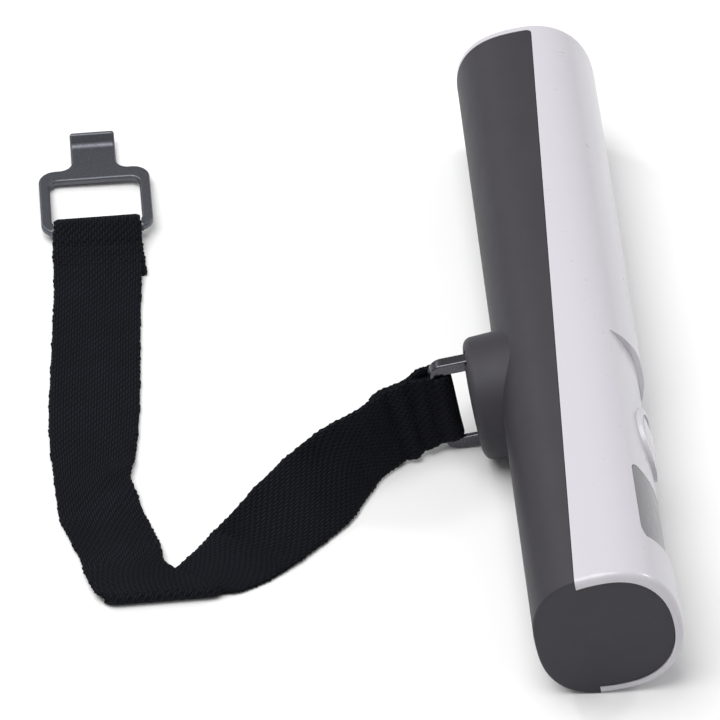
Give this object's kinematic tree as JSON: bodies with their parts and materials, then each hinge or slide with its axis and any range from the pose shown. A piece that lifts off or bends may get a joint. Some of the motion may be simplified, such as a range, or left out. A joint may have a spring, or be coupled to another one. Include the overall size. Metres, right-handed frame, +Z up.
{
  "type": "luggage scale",
  "caption": "Hand-held digital luggage scale: bar handle with display and button, round boss with a load ring, folded webbing strap and a flat hook with a curled tongue.",
  "frame": {"origin": "on the table, under the middle of the bar's length and its axis", "axes": "+X along the bar towards its exposed dark end face; +Y to the display side, away from the strap; +Z up from the table"},
  "size_m": [0.171, 0.119, 0.032],
  "materials": {
    "housing": "satin, fine grain",
    "cover": "smooth gloss white",
    "lens": "grey tinted, gloss",
    "lcd_glass": "clear with grey film",
    "diffuser": "milky",
    "frame_plastic": "moulded black",
    "zebra": "striped elastomer",
    "board": "green solder mask",
    "epoxy": "black",
    "alloy": "milled",
    "gauge_foil": "white sealant over foil",
    "zinc_steel": "zinc plated",
    "screw_steel": "zinc plated",
    "cell_steel": "bright nickel",
    "contact_metal": "nickel-plated strip",
    "wire_sleeve": "PVC",
    "button": "smooth gloss white",
    "ring_steel": "dark bright plating",
    "webbing": "plain woven polyester",
    "hook_steel": "dark satin plating"
  },
  "bodies": {
    "handle": {"lower_housing": "housing", "upper_cover": "cover", "lcd_lens": "lens", "lcd_panel": "lcd_glass", "lcd_backlight": "diffuser", "lcd_frame": "frame_plastic", "zebra_strip": "zebra", "main_pcb": "board", "pcb_parts": "epoxy", "controller_chip": "epoxy", "tact_switch": "epoxy", "load_cell": "alloy", "strain_gauges": "gauge_foil", "beam_spacer": "alloy", "chassis_plate": "zinc_steel", "hanger": "zinc_steel", "housing_screws": "screw_steel", "chassis_screws": "screw_steel", "beam_screws": "screw_steel", "hanger_screws": "screw_steel", "pcb_screws": "screw_steel", "coin_cell": "cell_steel", "battery_holder": "frame_plastic", "contact_positive": "contact_metal", "contact_negative": "contact_metal", "sensor_wires": "wire_sleeve", "battery_wires": "wire_sleeve"},
    "power_button": {"power_button": "button"},
    "battery_door": {"battery_door": "housing"},
    "load_ring": {"load_ring": "ring_steel"},
    "strap_near": {"strap_near": "webbing", "strap_fold": "webbing"},
    "strap_far": {"strap_far": "webbing"},
    "strap_hook": {"strap_hook": "hook_steel"}
  },
  "joints": [
    {"name": "button_press", "type": "slide", "parent": "handle", "child": "power_button", "axis": [0, -0.981, -0.1942], "range_m": [0, 0.0006], "stiffness_N_per_m": 500},
    {"name": "battery_door_hinge", "type": "hinge", "parent": "handle", "child": "battery_door", "pos_m": [-0.05, -0.00592, 0.00154], "axis": [-1, 0, 0], "range_deg": [0, 60]},
    {"name": "ring_swing", "type": "hinge", "parent": "handle", "child": "load_ring", "pos_m": [0.0102, -0.01207, 0.01372], "axis": [0, -0.1942, 0.981], "range_deg": [-4, 4]},
    {"name": "strap_swing", "type": "hinge", "parent": "load_ring", "child": "strap_near", "pos_m": [0.0102, -0.02619, 0.01118], "axis": [0, -0.1942, 0.981], "range_deg": [-25, 35]},
    {"name": "strap_unfold", "type": "hinge", "parent": "strap_near", "child": "strap_far", "pos_m": [0.051, -0.0834, 0.00137], "axis": [-0.0698, 0.9976, 0], "range_deg": [0, 170]},
    {"name": "hook_swing", "type": "hinge", "parent": "strap_far", "child": "strap_hook", "pos_m": [-0.05787, -0.092, 0.00285], "axis": [0, 0.9996, 0.0279], "range_deg": [-150, 150]}
  ]
}
